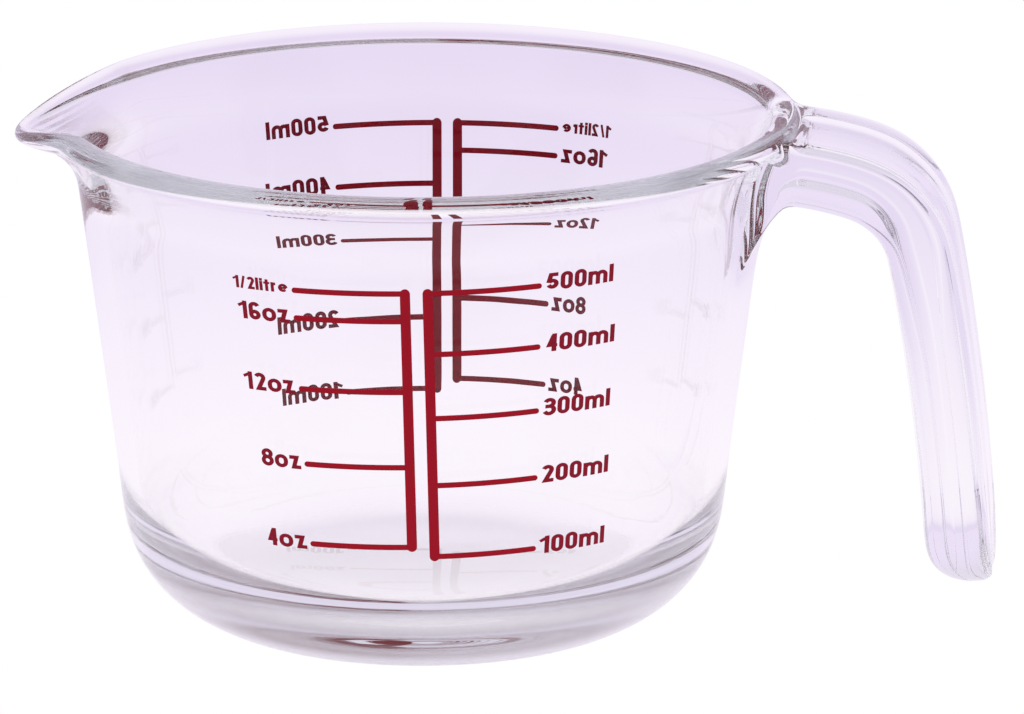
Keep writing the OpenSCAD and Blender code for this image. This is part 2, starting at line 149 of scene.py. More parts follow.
def arc(centre, r, start, end, steps):
    """Control points of an arc, its angles in degrees, both ends included."""
    step = math.radians(end - start) / steps
    out = r * pull(step)
    turns = [math.radians(start) + step * i for i in range(steps + 1)]
    return [(centre[0] + out * math.cos(a), centre[1] + out * math.sin(a)) for a in turns]


def wall_r(z):
    """Radius of the bowl's outer wall at a height."""
    return WALL_FOOT_R + LEAN * z


def inner_r(z):
    """Radius of the bowl's inner wall at a height."""
    return INNER_FOOT_R + LEAN * z


# %% The section from the foot up, over the bead and down to the floor
lean_deg = math.degrees(LEAN_ANGLE)


def corner_centre(foot_r, z, r):
    """Centre of the arc that rounds a level line at z into the wall."""
    return (foot_r + LEAN * (z + r) - r / math.cos(LEAN_ANGLE), z + r)


def flare_centre(r, z, curve):
    """Centre of the flare's arc, which lies outside the glass."""
    return (r + curve * math.cos(LEAN_ANGLE), z - curve * math.sin(LEAN_ANGLE))


base_centre = corner_centre(WALL_FOOT_R, 0, BASE_CORNER_R)
floor_centre = corner_centre(INNER_FOOT_R, FLOOR_Z, FLOOR_CORNER_R)
out_centre = flare_centre(WALL_TOP_R, FLARE_Z, FLARE_OUT_R)
in_centre = flare_centre(inner_r(FLARE_IN_Z), FLARE_IN_Z, FLARE_IN_R)
out_end = 180 - math.degrees(math.asin((RIM_Z + BEAD_R * math.sin(math.radians(BEAD_START))
                                        - out_centre[1]) / FLARE_OUT_R))
rim_in_z = RIM_Z + BEAD_R - RIM_IN_ROUND
rim_end_z = rim_in_z + RIM_IN_ROUND * math.sin(math.radians(RIM_IN_END))
in_end = 180 - math.degrees(math.asin((rim_end_z - in_centre[1]) / FLARE_IN_R))
rim_in_r = (in_centre[0] + FLARE_IN_R * math.cos(math.radians(in_end))
            - RIM_IN_ROUND * math.cos(math.radians(RIM_IN_END)))

# The window that the handle grows from starts at the first of WINDOW_ROWS and ends on the bead.
FOOT_RINGS, FLOOR_RINGS = (0, 9, 18, 25), (24, 12, 0)
WALL_ROWS, WINDOW_ROWS, INNER_ROWS = (26, 36, 46, 56), (63, 68, 72.5), (67, 58, 48, 38, 29)
BASE_STEPS, FLOOR_CORNER_STEPS = 5, 4
FLARE_OUT_STEPS, FLARE_IN_STEPS = 6, 5
OUTER_STEPS, INNER_STEPS = 8, 3
HOLE_BEAD_STEPS = 7

# An arc's first or last point lies off its line by the set-out, so each joint keeps the point
# that lies on the straight part: the foot's, the wall's and the floor's.
section = [(r, 0) for r in FOOT_RINGS]
section += arc(base_centre, BASE_CORNER_R, -90, -lean_deg, BASE_STEPS)
section[len(FOOT_RINGS)] = (base_centre[0], 0)
section += [(wall_r(z), z) for z in WALL_ROWS]
hole_bottom = len(section)
section += [(wall_r(z), z) for z in WINDOW_ROWS]
flare_first = len(section)
section += [(wall_r(FLARE_Z), FLARE_Z)]
section += arc(out_centre, FLARE_OUT_R, 180 - lean_deg, out_end, FLARE_OUT_STEPS)[1:-1]
bead_first = len(section)
section += arc((RIM_R, RIM_Z), BEAD_R, BEAD_START, 90, OUTER_STEPS)
section += arc((rim_in_r, rim_in_z), RIM_IN_ROUND, 90, RIM_IN_END, INNER_STEPS)
bead_last = len(section) - 1
hole_top = bead_first + HOLE_BEAD_STEPS
section += arc(in_centre, FLARE_IN_R, in_end, 180 - lean_deg, FLARE_IN_STEPS)[1:-1]
inner_first = len(section)
section += [(inner_r(z), z) for z in (FLARE_IN_Z, *INNER_ROWS)]
section += arc(floor_centre, FLOOR_CORNER_R, -lean_deg, -90, FLOOR_CORNER_STEPS)
section[-1] = (floor_centre[0], FLOOR_Z)
section += [(r, FLOOR_Z) for r in FLOOR_RINGS]
print("section points:", len(section), "bead:", bead_first, "to", bead_last)

# %% [markdown]
# ## Turning the bowl
#
# The section is drawn as a chain of edges and spun about the axis. A screw modifier could do the
# same, but the cage is edited point by point afterwards, so it has to be a plain mesh. The ends on
# the axis are merged to one point each, which closes the foot and the floor.


# %% Spin the section
def spin_section(points, name):
    """A closed mesh from a section in the XZ plane, spun about Z."""
    pull_round = pull(COLUMN_ANGLE)
    mesh = bpy.data.meshes.new(name)
    verts = [(r * pull_round * MM, 0, z * MM) for r, z in points]
    mesh.from_pydata(verts, [(i, i + 1) for i in range(len(verts) - 1)], [])
    obj = bpy.data.objects.new(name, mesh)
    bpy.context.collection.objects.link(obj)
    pick(obj)
    bpy.ops.object.mode_set(mode="EDIT")
    bpy.ops.mesh.select_all(action="SELECT")
    bpy.ops.mesh.spin(steps=COLUMNS, angle=2 * math.pi, center=(0, 0, 0), axis=(0, 0, 1))
    bpy.ops.mesh.select_all(action="SELECT")
    bpy.ops.mesh.remove_doubles(threshold=0.01 * MM)
    bpy.ops.mesh.normals_make_consistent(inside=False)
    bpy.ops.object.mode_set(mode="OBJECT")
    return obj


glass = spin_section(section, "glass_jug")
print("turned cage:", len(glass.data.vertices), "points")

# %% [markdown]
# ## The spout
#
# On the real jug a tool draws the soft rim outwards and down. A grab brush could do that here,
# but its two sides would differ. So the cage's columns near the spout are moved by a rule: each
# point goes from its place on the plain rim towards its place on the drawn lip, all the way at
# the tip and not at all where the spout dies into the rim.

# %% Sizes of the spout, in mm and degrees
SPOUT_HALF = 25.0
SPOUT_REACH = 6.9
SPOUT_DIP = 4.1
LIP_R = 1.25
LIP_UNDER, LIP_FRONT, LIP_BACK, LIP_TROUGH = -95, 75, 85, 115
TROUGH_Z = 77.57
UNDER_SHARE, TROUGH_SHARE = 0.95, 0.5
UNDER_LEVEL, TROUGH_LEVEL = 0.3, 0.4
TIP_BLUNT = 0.12
SPOUT_HOLLOW = 1.15
lip_centre = (RIM_R + SPOUT_REACH, RIM_Z - SPOUT_DIP)


def drawn(angle):
    """How far the lip is drawn at an angle from the spout's middle, from 1 to 0."""
    u = min(abs(angle) / SPOUT_HALF, 1)
    top = math.sqrt(1 + TIP_BLUNT ** 2) - TIP_BLUNT
    x = (math.sqrt(u * u + TIP_BLUNT ** 2) - TIP_BLUNT) / top
    return (1 - x) ** SPOUT_HOLLOW


def mix(a, b, t):
    """The point a share t of the way from a to b."""
    return tuple(p * (1 - t) + q * t for p, q in zip(a, b))


def bezier(p, t):
    """A point on a cubic curve with four control points."""
    a, b, c = mix(p[0], p[1], t), mix(p[1], p[2], t), mix(p[2], p[3], t)
    return mix(mix(a, b, t), mix(b, c, t), t)


def lip_point(angle):
    """A point on the lip's round edge."""
    a = math.radians(angle)
    return (lip_centre[0] + LIP_R * math.cos(a), lip_centre[1] + LIP_R * math.sin(a))


def lip_side(start, rise, end, level_share):
    """The curve from the wall to the lip: straight up first, then level."""
    bend = (start[0] + LEAN * rise, start[1] + rise)
    return [start, bend, mix(bend, end, level_share), end]


# %% Where each section point goes at the tip
under_rise = UNDER_SHARE * (lip_centre[1] - LIP_R - FLARE_Z)
trough_rise = TROUGH_SHARE * (lip_centre[1] + LIP_R - TROUGH_Z)
under = lip_side((wall_r(FLARE_Z), FLARE_Z), under_rise, lip_point(LIP_UNDER), UNDER_LEVEL)
trough = lip_side((inner_r(TROUGH_Z), TROUGH_Z), trough_rise, lip_point(LIP_TROUGH),
                  TROUGH_LEVEL)
tip_section = list(section)
outer_steps = bead_first - flare_first
for i in range(1, outer_steps):
    tip_section[flare_first + i] = bezier(under, i / outer_steps)
for i in range(OUTER_STEPS + 1):
    tip_section[bead_first + i] = lip_point(LIP_UNDER + (LIP_FRONT - LIP_UNDER) * i / OUTER_STEPS)
for i in range(INNER_STEPS + 1):
    tip_section[bead_last - i] = lip_point(LIP_TROUGH
                                           - (LIP_TROUGH - LIP_BACK) * i / INNER_STEPS)
inner_steps = inner_first - bead_last
for i in range(1, inner_steps):
    tip_section[bead_last + i] = bezier(trough, 1 - i / inner_steps)
print("lip centre at", lip_centre, "mm")

# %% Draw the spout out of the rim
cage_section = [(r * pull(COLUMN_ANGLE), z) for r, z in section]


def row_of(vertex):
    """Which point of the section a point of the turned cage came from."""
    x, y, z = vertex.co / MM
    r = math.hypot(x, y)
    return min(range(len(cage_section)),
               key=lambda i: (cage_section[i][0] - r) ** 2 + (cage_section[i][1] - z) ** 2)


moved = 0
for vertex in glass.data.vertices:
    x, y, z = vertex.co / MM
    away = math.degrees(math.atan2(y, -x))
    amount = drawn(away)
    if amount <= 0 or z < FLARE_Z:
        continue
    moved += 1
    index = row_of(vertex)
    shift_r = tip_section[index][0] - section[index][0]
    shift_z = tip_section[index][1] - section[index][1]
    out = Vector((x, y, 0)).normalized()
    vertex.co += (out * shift_r + Vector((0, 0, shift_z))) * amount * MM
print("points drawn into the spout:", moved)

# %% [markdown]
# ## The handle
#
# The handle is a strap about 30 mm wide and 11 mm thick with softly rounded long edges. Its
# middle line is three arcs: the run out from the rim, the bend, and the leg, which hangs free
# and ends in a rounded tongue. A curve with a bevel could draw it, but its edges grow rounder
# down the leg and its end tapers. So rings of points follow the line, each with its own shape.

# %% Sizes of the strap, in mm and degrees
STRAP_W = 30.0
STRAP_T = 10.8
STRAP_EDGE_R, LEG_EDGE_R = 1.5, 3.6
EDGE_FADE = (26.0, 52.0)
EDGE_MOST_W, EDGE_MOST_T = 0.9, 0.4
LEG_TRIM = 0.1
STRAP_Z = 82.9
RUN_L, BEND_L, LEG_L = 19.8, 16.5, 61.0
SLOPE_ROOT, SLOPE_RUN, SLOPE_BEND, SLOPE_LEG = -3.0, 17.0, 78.7, 87.0
TONGUE_L = 13.0
END_ROUND_L = 9.0
END_TAPER_SHARE = 0.75
END_EDGE_R = STRAP_T * 0.2
STRAP_L = RUN_L + BEND_L + LEG_L
HOLE_HALF_COLUMNS = 4
WIDE_STEPS = 2 * HOLE_HALF_COLUMNS - 2
SIDE_STEPS = hole_top - hole_bottom - 2


def arc_end(state, slope, length, t=1.0):
    """Follow an arc from a state (x, z, slope) and return the state a share t along it."""
    r = length / math.radians(slope - state[2])
    a = state[2] + (slope - state[2]) * t
    s0, s1 = math.radians(state[2]), math.radians(a)
    return (state[0] + r * (math.sin(s1) - math.sin(s0)),
            state[1] - r * (math.cos(s0) - math.cos(s1)), a)


strap_start = (wall_r(STRAP_Z) - WALL_T, STRAP_Z, SLOPE_ROOT)
run_end = arc_end(strap_start, SLOPE_RUN, RUN_L)
bend_end = arc_end(run_end, SLOPE_BEND, BEND_L)


def strap_at(s):
    """Middle of the strap and its downward slope, a length s from its root."""
    if s < RUN_L:
        return arc_end(strap_start, SLOPE_RUN, RUN_L, s / RUN_L)
    if s < RUN_L + BEND_L:
        return arc_end(run_end, SLOPE_BEND, BEND_L, (s - RUN_L) / BEND_L)
    return arc_end(bend_end, SLOPE_LEG, LEG_L, (s - RUN_L - BEND_L) / LEG_L)


def quarter(d, length):
    """A quarter round: 0 at the end of a run and 1 from its start on."""
    return 1.0 if d >= length else math.sqrt(max(0.0, 1 - (1 - d / length) ** 2))


print("strap length:", STRAP_L, "mm, end at", [round(v, 1) for v in strap_at(STRAP_L)[:2]])


# %% Rings of the strap
def strap_ring(s):
    """Control points round the strap, from the middle of the near lower edge, going up."""
    x, z, slope = strap_at(s)
    left = STRAP_L - s
    half = STRAP_W / 2 * quarter(left, TONGUE_L)
    fade = min(max((s - EDGE_FADE[0]) / (EDGE_FADE[1] - EDGE_FADE[0]), 0), 1)
    out = STRAP_T / 2 - END_EDGE_R * (1 - quarter(left, END_EDGE_R)) - LEG_TRIM * fade
    inn = -STRAP_T * (0.5 - (1 - quarter(left, END_ROUND_L)) * END_TAPER_SHARE)
    r = STRAP_EDGE_R + (LEG_EDGE_R - STRAP_EDGE_R) * fade
    r = min(r, half * EDGE_MOST_W, (out - inn) * EDGE_MOST_T)
    edge = r * pull(math.pi / 4)
    diag = edge * math.sqrt(0.5)
    w = half - r
    side_steps = [i / SIDE_STEPS for i in range(1, SIDE_STEPS)]
    wide_steps = [2 * w * i / WIDE_STEPS for i in range(1, WIDE_STEPS)]
    near = [(-w - diag, inn + r - diag), (-w - edge, inn + r)]
    near += [(-half, inn + r + (out - inn - 2 * r) * t) for t in side_steps]
    near += [(-w - edge, out - r)]
    top = [(-w - diag, out - r + diag), (-w, out - r + edge)]
    top += [(-w + step, out) for step in wide_steps]
    top += [(w, out - r + edge)]
    far = [(w + diag, out - r + diag)]
    far += [(-across, up) for across, up in reversed(near[1:])]
    low = [(w + diag, inn + r - diag), (w, inn + r - edge)]
    low += [(w - step, inn) for step in wide_steps]
    low += [(-w, inn + r - edge)]
    a = math.radians(slope)
    return [Vector((x + up * math.sin(a), across, z + up * math.cos(a))) * MM
            for across, up in near + top + far + low]


ROOT_S = 8.5
ROOT_STATIONS = (ROOT_S, 11.0, 14.0, 17.0)
PART_RINGS = 6
TIP_GAP = 0.12
leg_start, leg_stop = RUN_L + BEND_L, STRAP_L - TONGUE_L
stations = list(ROOT_STATIONS)
stations += [RUN_L + BEND_L * i / PART_RINGS for i in range(PART_RINGS + 1)]
stations += [leg_start + (leg_stop - leg_start) * i / PART_RINGS
             for i in range(1, PART_RINGS + 1)]
stations += [STRAP_L - TONGUE_L * (1 - i / PART_RINGS) ** 2 for i in range(1, PART_RINGS)]
stations += [STRAP_L - TIP_GAP]
print("strap rings:", len(stations), "points each:", len(strap_ring(ROOT_S)))

# %% [markdown]
# ## Growing the handle out of the rim
#
# The glass runs through from the bowl to the handle without a seam. A boolean union would leave
# a sharp seam and ragged faces, and both show in clear glass. Instead a window is opened in the
# bowl's cage where the handle grows, with as many points round it as the strap's rings have, and
# rings of a smooth curve join the window to the strap. They make the soft fillets of the root,
# the web under it, and the way the bead fades into the strap.


# %% Find the window
def window_grid(mesh):
    """The window's points, by column and row of the cage."""
    grid = {}
    for vertex in mesh.verts:
        x, y, z = vertex.co / MM
        column = round(math.atan2(y, x) / COLUMN_ANGLE)
        if abs(column) <= HOLE_HALF_COLUMNS:
            row = row_of(vertex)
            if hole_bottom <= row <= hole_top:
                grid[(column, row)] = vertex
    return grid


mesh = bmesh.new()
mesh.from_mesh(glass.data)
grid = window_grid(mesh)
half = HOLE_HALF_COLUMNS
keys = [(-half, row) for row in range(hole_bottom, hole_top)]
keys += [(column, hole_top) for column in range(-half, half)]
keys += [(half, row) for row in range(hole_top, hole_bottom, -1)]
keys += [(column, hole_bottom) for column in range(half, -half, -1)]
loop = [grid[key] for key in keys]
inside = set(grid.values())
faces = [face for face in mesh.faces if all(v in inside for v in face.verts)]
print("window points:", len(loop), "faces removed:", len(faces))


def surface_pull(column, row):
    """Direction on the bowl's skin that leads from a window point into the window."""
    here = grid[(column, row)].co
    step = Vector((0, 0, 0))
    if abs(column) == half:
        step += (grid[(column - (1 if column > 0 else -1), row)].co - here).normalized()
    if row == hole_bottom:
        step += (grid[(column, row + 1)].co - here).normalized()
    if row == hole_top:
        step += (grid[(column, row - 1)].co - here).normalized()
    return step.normalized()


# %% Join the strap to the window
# Each root curve leaves the wall along its skin and meets the strap along the strap. How far it
# keeps to each changes from the window's lower edge, a low web, to its upper edge, the bead.
WALL_KEEP, WALL_KEEP_LESS = 0.45, 0.12
STRAP_KEEP, STRAP_KEEP_MORE = 0.1, 0.3
SLOPE_STEP = 0.5
ROOT_RINGS = 4
pulls = [surface_pull(*key) for key in keys]
first_ring = strap_ring(ROOT_S)
second_ring = strap_ring(ROOT_S + SLOPE_STEP)
root_rings = []
for step in range(1, ROOT_RINGS + 1):
    t = step / (ROOT_RINGS + 1)
    ring = []
    for i, key in enumerate(keys):
        a, b = grid[key].co, first_ring[i]
        along = (first_ring[i] - second_ring[i]).normalized()
        reach = (b - a).length
        up = (key[1] - hole_bottom) / (hole_top - hole_bottom)
        p1 = a + pulls[i] * reach * (WALL_KEEP - WALL_KEEP_LESS * up)
        p2 = b + along * reach * (STRAP_KEEP + STRAP_KEEP_MORE * up)
        ring.append(Vector(bezier([tuple(a), tuple(p1), tuple(p2), tuple(b)], t)))
    root_rings.append(ring)

bmesh.ops.delete(mesh, geom=faces, context="FACES")
loose = [v for v in mesh.verts if not v.link_faces]
bmesh.ops.delete(mesh, geom=loose, context="VERTS")
previous = loop
for ring in root_rings + [strap_ring(s) for s in stations]:
    verts = [mesh.verts.new(p) for p in ring]
    for i in range(len(verts)):
        j = (i + 1) % len(verts)
        mesh.faces.new((previous[i], previous[j], verts[j], verts[i]))
    previous = verts
mesh.faces.new(previous)
bmesh.ops.recalc_face_normals(mesh, faces=mesh.faces)
mesh.to_mesh(glass.data)
mesh.free()
print("cage with its handle:", len(glass.data.vertices), "points")

# %% [markdown]
# ### Fire polish
#
# A flame run over the pressed glass melts its skin, which rounds each edge and takes away the
# mould's marks. A bevel could round the edges one by one. A subdivision surface rounds the whole
# cage at once, as the flame does. The outer wall between base and flare is then measured against
# the cone that the CAD gives it.

# %% Smooth the glass
SMOOTH_LEVELS = 2
WALL_TEST_Z, WALL_TEST_X, WALL_TEST_IN = (20, 75), 40, -1
subdivision = glass.modifiers.new("fire_polish", "SUBSURF")
subdivision.levels = subdivision.render_levels = SMOOTH_LEVELS
apply_modifiers(glass)
bpy.ops.object.shade_smooth()
print("glass:", len(glass.data.polygons), "faces")
spots = [v.co / MM for v in glass.data.vertices]
gaps = [math.hypot(x, y) - wall_r(z) for x, y, z in spots
        if WALL_TEST_Z[0] < z < WALL_TEST_Z[1] and x < WALL_TEST_X]
gaps = [gap for gap in gaps if gap > WALL_TEST_IN]
print("outer wall off by", round(min(gaps), 3), "to", round(max(gaps), 3), "mm")
xs = [x for x, _, _ in spots]
print("glass reaches from", round(min(xs), 2), "to", round(max(xs), 2), "mm along X")

# %% [markdown]
# ## Materials
#
# Two things are seen: the glass and the enamel fired on it. Both are built from nodes. A node
# could be added and linked by hand in the shader editor; one small function does the same here,
# so that each material below reads as a list of what it is made of.


# %% A node helper
def node(tree, kind, inputs=(), links=(), **settings):
    """Add a node, set its settings and inputs, and link its inputs to other nodes' outputs."""
    made = tree.nodes.new(kind)
    for key, value in settings.items():
        setattr(made, key, value)
    for key, value in dict(inputs).items():
        made.inputs[key].default_value = value
    for key, (other, output) in dict(links).items():
        tree.links.new(other.outputs[output], made.inputs[key])
    return made


def step_inputs(low, high, bottom, top):
    """Inputs of a Map Range node that goes from bottom at low to top at high."""
    return {"From Min": low, "From Max": high, "To Min": bottom, "To Max": top}


def new_material(name):
    """A material whose node tree is empty."""
    material = bpy.data.materials.new(name)
    material.use_nodes = True
    material.node_tree.nodes.clear()
    return material, material.node_tree


print("mid grey #808080 in linear values:", [round(v, 3) for v in srgb("#808080")])


# %% [markdown]
# ### Pressed soda-lime glass
#
# Table glass lets all light through and bends it by an index of 1.52. Its skin is fire-polished,
# so it is smooth, but the mould leaves a very faint ripple, about 17 mm from wave to wave, that
# makes what is seen through two walls waver. The foot has a fine stipple against scratches, so
# its lowest 3 mm are rough and scatter the light to an even pale tone. The dents are too fine to
# draw, so the stipple is a roughness that fades with height. Iron in the sand gives thick glass
# its grey-green: the rim, the corner of the base and the end of the handle turn greener than the
# thin wall. One material carries all this, since two glasses that meet in one body would show a
# false seam.
#
# Glass is often photographed through a polarising filter, which takes the mirror light off a wall
# seen head-on: the far scale stays red through the near wall, as in the photo. A specular tint of
# 0.3 does that, and leaves the strong mirror light at grazing angles, which draws the outlines.

# %% Pressed soda-lime glass
RIPPLE_MM, RIPPLE_HIGH_MM, RIPPLE_STRENGTH = 50 / 3, 0.2, 0.06
STIPPLE_FULL_MM, STIPPLE_END_MM, STIPPLE_ROUGH = 0.5, 3.5, 0.35
GLASS_IOR = 1.52
MIRROR_SHARE = 0.3
GLASS_GREEN, GREEN_DENSITY = srgb("#b9d6cc"), 1.5
soda_lime, tree = new_material("soda_lime_glass")
place = node(tree, "ShaderNodeTexCoord")
waves = node(tree, "ShaderNodeTexNoise", {"Scale": 1 / (RIPPLE_MM * MM), "Detail": 2.0},
             {"Vector": (place, "Object")})
ripple = node(tree, "ShaderNodeBump",
              {"Strength": RIPPLE_STRENGTH, "Distance": RIPPLE_HIGH_MM * MM},
              {"Height": (waves, "Fac")})
split = node(tree, "ShaderNodeSeparateXYZ", (), {"Vector": (place, "Object")})
stipple = node(tree, "ShaderNodeMapRange",
               step_inputs(STIPPLE_FULL_MM * MM, STIPPLE_END_MM * MM, STIPPLE_ROUGH, 0.0),
               {"Value": (split, "Z")}, interpolation_type="SMOOTHSTEP")
shader = node(tree, "ShaderNodeBsdfPrincipled",
              {"Base Color": (1, 1, 1, 1), "IOR": GLASS_IOR, "Transmission Weight": 1.0,
               "Specular Tint": (MIRROR_SHARE, MIRROR_SHARE, MIRROR_SHARE, 1)},
              {"Normal": (ripple, "Normal"), "Roughness": (stipple, 0)})
depth = node(tree, "ShaderNodeVolumeAbsorption",
             {"Color": GLASS_GREEN, "Density": GREEN_DENSITY})
node(tree, "ShaderNodeOutputMaterial", (), {"Surface": (shader, "BSDF"),
                                            "Volume": (depth, "Volume")})
print("glass: index", GLASS_IOR, "- stippled up to", STIPPLE_END_MM, "mm")

# %% [markdown]
# ### Fired enamel
#
# The scale is ceramic colour, screen-printed and fired at about 600 degrees. It looks like dark
# red paint with a satin skin: no clear highlight, and a grain 0.4 mm wide, the step of a fairly
# coarse screen, where the colour lies thicker or thinner. The narrow strokes of the words look
# browner and darker than the broad bars, so they have a red of their own.


# %% Fired enamel
SCREEN_MM = 0.4
ENAMEL_ROUGH, ENAMEL_MIRROR = 0.4, 0.1


def fired_enamel(name, dark, light):
    """Satin ceramic enamel: a screen leaves it slightly uneven, so two reds mix in a fine grain."""
    material, tree = new_material(name)
    place = node(tree, "ShaderNodeTexCoord")
    grain = node(tree, "ShaderNodeTexNoise", {"Scale": 1 / (SCREEN_MM * MM), "Detail": 2.0},
                 {"Vector": (place, "Object")})
    tone = node(tree, "ShaderNodeMix", {"A": srgb(dark), "B": srgb(light)},
                {"Factor": (grain, "Fac")}, data_type="RGBA")
    shader = node(tree, "ShaderNodeBsdfPrincipled",
                  {"Roughness": ENAMEL_ROUGH, "Specular IOR Level": ENAMEL_MIRROR},
                  {"Base Color": (tone, "Result")})
    node(tree, "ShaderNodeOutputMaterial", (), {"Surface": (shader, "BSDF")})
    return material


enamel = fired_enamel("fired_enamel", "#a30b1f", "#ae0d25")
fine_enamel = fired_enamel("fine_fired_enamel", "#8c1226", "#98162c")
print("enamels:", enamel.name, fine_enamel.name)

# %% [markdown]
# ### The glass skin stands for two CAD pieces
#
# In the CAD model the bowl and the handle are two solids that touch. Each could be dressed by
# itself, but light would show the face between them. The skin made above is one pressing, as the
# real jug is, so it replaces both nodes: they are hidden, and the skin hangs from the root body.

# %% Give the glass its material
glass.data.materials.clear()
glass.data.materials.append(soda_lime)
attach(glass, "root")
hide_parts("bowl", "handle")
print("glass skin:", len(glass.data.polygons), "faces")

# %% [markdown]
# ## The printed scale
#
# The scale is screen-printed with ceramic enamel and fired, so it becomes one with the glass: seen
# through the wall it has no air behind it. A texture could show it, but only from one side. Here
# each mark is a thin body of its own, drawn flat and pressed on the wall like a decal, with its
# underside just inside the skin.

# %% Sizes of the print, in mm and degrees
# Each side's middle and its tilt; each tick's height, a share of the rim's height, is where the
# bowl holds that much; and each word's width.
PRINT_IN, PRINT_OUT = -0.06, 0.1
BAR_W, TICK_W, BAR_GAP = 1.65, 0.95, 3.74
TICK_ANGLE = 18.4
SIDES = {"front": (6.4, 1.2), "back": (182.35, -0.5)}
ML_Z = [RIM_Z * share for share in (0.2865, 0.4332, 0.5708, 0.7015, 0.8253)]
OZ_Z = [RIM_Z * share for share in (0.3071, 0.4715, 0.6256, 0.7694, 0.8253)]
ML_WORDS = [("100ml", 12.6), ("200ml", 12.8), ("300ml", 12.8), ("400ml", 13.0), ("500ml", 12.6)]
OZ_WORDS = [("4oz", 7.4), ("8oz", 7.4), ("12oz", 9.9), ("16oz", 9.9), ("half_litre", 10.4)]
CAD_PRINT_T = 0.15
SCALE_Z = (ML_Z[0] + ML_Z[-1]) / 2


def bar_angle(z):
    """Half the angle between the two upright bars at a height."""
    return math.degrees(BAR_GAP / 2 / wall_r(z))


def press_on(obj, turn):
    """Press a flat drawing on the wall; its z from 0 to 1 becomes the enamel's thickness."""
    c, s = math.cos(math.radians(turn)), math.sin(math.radians(turn))
    for vertex in obj.data.vertices:
        x, z, depth = vertex.co
        r = wall_r(z) + PRINT_IN + (PRINT_OUT - PRINT_IN) * depth
        y = -math.sqrt(r * r - x * x)
        vertex.co = (x * c - y * s, x * s + y * c, z)
        vertex.co *= MM
    obj.data.update()


def finish_print(obj, replaced, material):
    """Clean the print's mesh and hand it over."""
    pick(obj)
    bpy.ops.object.mode_set(mode="EDIT")
    bpy.ops.mesh.select_all(action="SELECT")
    bpy.ops.mesh.remove_doubles(threshold=0.001 * MM)
    bpy.ops.mesh.normals_make_consistent(inside=False)
    bpy.ops.object.mode_set(mode="OBJECT")
    obj.data.materials.clear()
    obj.data.materials.append(material)
    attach(obj, "root")
    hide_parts(replaced)


print("tick heights in mm:", [round(z, 1) for z in ML_Z], [round(z, 1) for z in OZ_Z])

# %% [markdown]
# ### Bars and ticks
#
# Each side has two ladders, millilitres to the right and fluid ounces to the left of the reader.
# A bar or a tick could be cut from the CAD piece. It is drawn anew as a grid with round ends and
# rows close together, so that it bends with the wall and its underside can lie in the skin.

# %% Bars and ticks
STROKE_STEPS = 40
END_HALF_W = 0.02


def stroke(start, end, width):
    """A flat line with round ends: a grid whose rows are set to the line's half width."""
    bpy.ops.mesh.primitive_grid_add(x_subdivisions=STROKE_STEPS, y_subdivisions=1, size=2)
    obj = bpy.context.object
    bpy.ops.object.mode_set(mode="EDIT")
    bpy.ops.mesh.select_all(action="SELECT")
    bpy.ops.mesh.extrude_region_move(TRANSFORM_OT_translate={"value": (0, 0, 1)})
    bpy.ops.object.mode_set(mode="OBJECT")
    a, b = Vector((*start, 0)), Vector((*end, 0))
    along = (b - a).normalized()
    across = Vector((-along.y, along.x, 0))
    length, half = (b - a).length + width, width / 2
    for vertex in obj.data.vertices:
        place = length * (1 - math.cos(math.pi * (vertex.co.x + 1) / 2)) / 2
        from_end = min(place, length - place, half)
        side = math.sqrt(max(half * half - (half - from_end) ** 2, END_HALF_W ** 2))
        spot = a + along * (place - half) + across * side * vertex.co.y
        vertex.co = (spot.x, spot.y, vertex.co.z)
    return obj


def ladder(side, heights, way, replaced):
    """One upright bar with its five ticks."""
    side_turn, tilt = SIDES[side]
    turn = way * (bar_angle(SCALE_Z) + TICK_ANGLE / 2)
    pivot = Vector((-wall_r(SCALE_Z) * math.sin(math.radians(turn)), SCALE_Z))
    lean = math.radians(tilt)

    def spot(x, z):
        """A point of the drawing, leaned with its side."""
        away = Vector((x, z)) - pivot
        return pivot + Vector((away.x * math.cos(lean) - away.y * math.sin(lean),
                               away.x * math.sin(lean) + away.y * math.cos(lean)))

    def on_wall(z, beyond_bar=0):
        """The drawing's point at a height, some degrees beyond the upright bar."""
        angle = way * (bar_angle(z) + beyond_bar) - turn
        return spot(wall_r(z) * math.sin(math.radians(angle)), z)

    parts = [stroke(on_wall(heights[0]), on_wall(heights[-1]), BAR_W)]
    for z in heights:
        parts.append(stroke(on_wall(z), on_wall(z, TICK_ANGLE), TICK_W))
    pick(parts[0])
    for part in parts:
        part.select_set(True)
    bpy.ops.object.join()
    scale = bpy.context.object
    scale.name = replaced + "_print"
    press_on(scale, side_turn + turn)
    finish_print(scale, replaced, enamel)


# %% [markdown]
# ### Words
#
# The numerals are as wide as in the photo, which is a little wider than the CAD's drawing font.
# Each word is the CAD word's mesh taken over into a new object and stretched along the wall away
# from its tick, so that its shape and its gap to the tick stay.


